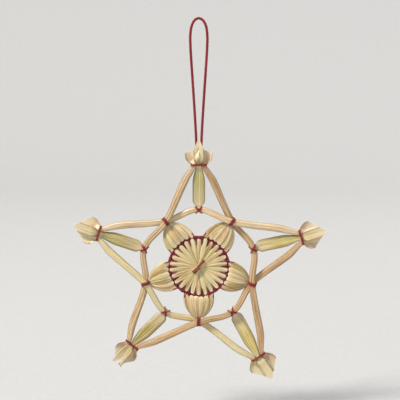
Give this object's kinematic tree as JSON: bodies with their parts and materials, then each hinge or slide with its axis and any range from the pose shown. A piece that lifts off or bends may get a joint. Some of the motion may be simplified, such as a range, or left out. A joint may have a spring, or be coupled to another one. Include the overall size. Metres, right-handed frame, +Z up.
{
  "type": "straw ornament",
  "caption": "Five-pointed star of flattened straws tied with red thread, with pointed crowns, shell-shaped fans, a stitched rosette and a thread loop to hang it by.",
  "frame": {"origin": "the inside top of the thread loop, where it rests on the hook or twig that holds the star", "axes": "+Z up, -Y out of the star's front, +X to the right as the front is seen"},
  "size_m": [0.0565, 0.0041, 0.0814],
  "materials": {
    "long_straw": "natural silky straw",
    "middle_straw": "natural silky straw, slightly greener",
    "splint": "split straw, silky",
    "thread": "matt twisted cotton"
  },
  "bodies": {
    "root": {"long_straw_1": "long_straw", "middle_straw_1": "middle_straw", "fan_1": "splint", "outer_tie_1": "thread", "mid_tie_1": "thread", "vertex_tie_1": "thread", "long_straw_2": "long_straw", "middle_straw_2": "middle_straw", "fan_2": "splint", "outer_tie_2": "thread", "mid_tie_2": "thread", "vertex_tie_2": "thread", "long_straw_3": "long_straw", "middle_straw_3": "middle_straw", "fan_3": "splint", "outer_tie_3": "thread", "mid_tie_3": "thread", "vertex_tie_3": "thread", "long_straw_4": "long_straw", "middle_straw_4": "middle_straw", "fan_4": "splint", "outer_tie_4": "thread", "mid_tie_4": "thread", "vertex_tie_4": "thread", "long_straw_5": "long_straw", "middle_straw_5": "middle_straw", "fan_5": "splint", "outer_tie_5": "thread", "mid_tie_5": "thread", "vertex_tie_5": "thread", "rosette": "splint", "rim_thread": "thread", "centre_stitch": "thread", "loop_knot": "thread", "hanging_loop": "thread"}
  },
  "joints": []
}
